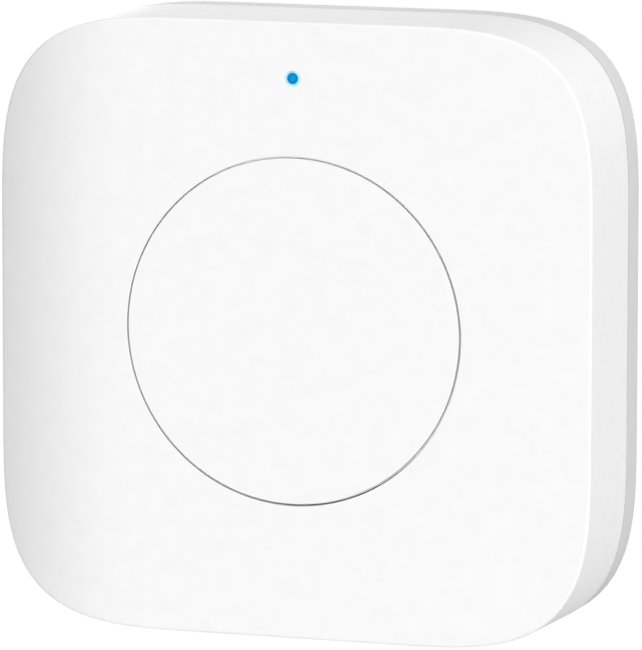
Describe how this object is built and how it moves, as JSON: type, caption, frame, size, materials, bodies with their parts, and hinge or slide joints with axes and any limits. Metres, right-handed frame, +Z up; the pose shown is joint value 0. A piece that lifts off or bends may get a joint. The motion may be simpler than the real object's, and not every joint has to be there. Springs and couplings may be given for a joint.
{
  "type": "smart button",
  "caption": "Square white wall button with rounded corners, a round push cap, a blue indicator light, a stick-on rear cover and a coin cell inside.",
  "frame": {"origin": "middle of the adhesive pad's outer face, on the wall plane", "axes": "+Z up the face towards the indicator light, +Y into the wall, the push cap faces -Y, +X to the right as seen from the front"},
  "size_m": [0.045, 0.0124, 0.045],
  "materials": {
    "case_white": "fine-textured moulded ABS",
    "cap_white": "fine-textured moulded ABS",
    "base_white": "moulded ABS, a shade greyer",
    "adhesive_foam": "white acrylic foam, tacky",
    "light_blue": "clear acrylic lit blue",
    "board_green": "solder mask over glass epoxy",
    "screw_steel": "zinc plated",
    "switch_black": "moulded nylon",
    "dome_steel": "spring steel",
    "plunger_black": "moulded nylon",
    "frame_steel": "tinned steel",
    "terminal_tin": "tinned brass",
    "led_base_white": "white moulding",
    "led_clear": "clear epoxy",
    "chip_black": "moulded epoxy, blank",
    "crystal_lid": "plated lid",
    "capacitor_brown": "ceramic",
    "resistor_black": "glazed ceramic",
    "reservoir_amber": "moulded epoxy",
    "copper": "gold-flashed copper",
    "cell_steel": "nickel plated, no lettering",
    "gasket_clear": "polypropylene",
    "pellet_black": "pressed manganese dioxide",
    "separator_white": "non-woven sheet",
    "lithium_grey": "lithium metal",
    "holder_black": "moulded nylon",
    "contact_steel": "nickel plated spring steel"
  },
  "bodies": {
    "base": {"rear_cover": "base_white", "adhesive_pad": "adhesive_foam"},
    "housing": {"front_cover": "case_white", "light_pipe": "light_blue", "circuit_board": "board_green", "board_screws": "screw_steel", "switch_base": "switch_black", "switch_dome": "dome_steel", "switch_frame": "frame_steel", "switch_terminals": "terminal_tin", "indicator_led": "led_base_white", "led_lens": "led_clear", "radio_chip": "chip_black", "radio_crystal": "crystal_lid", "clock_crystal": "crystal_lid", "capacitors": "capacitor_brown", "resistors": "resistor_black", "reservoir_capacitor": "reservoir_amber", "antenna_track": "copper", "cell_can": "cell_steel", "cell_gasket": "gasket_clear", "cell_cap": "cell_steel", "cell_pellet": "pellet_black", "cell_separator": "separator_white", "cell_lithium": "lithium_grey", "battery_holder": "holder_black", "side_contact": "contact_steel", "leaf_contact": "contact_steel"},
    "button": {"button_cap": "cap_white"},
    "plunger": {"switch_plunger": "plunger_black"}
  },
  "joints": [
    {"name": "cover_release", "type": "slide", "parent": "base", "child": "housing", "axis": [0, -1, 0], "range_m": [0, 0.03]},
    {"name": "button_press", "type": "slide", "parent": "housing", "child": "button", "axis": [0, 1, 0], "range_m": [0, 0.00025], "stiffness_N_per_m": 6000},
    {"name": "plunger_travel", "type": "slide", "parent": "housing", "child": "plunger", "axis": [0, 1, 0], "range_m": [0, 0.00025], "deforming": ["switch_dome"]}
  ],
  "couplings": [
    {"joint": "plunger_travel", "follows": "button_press", "ratio": 1}
  ]
}
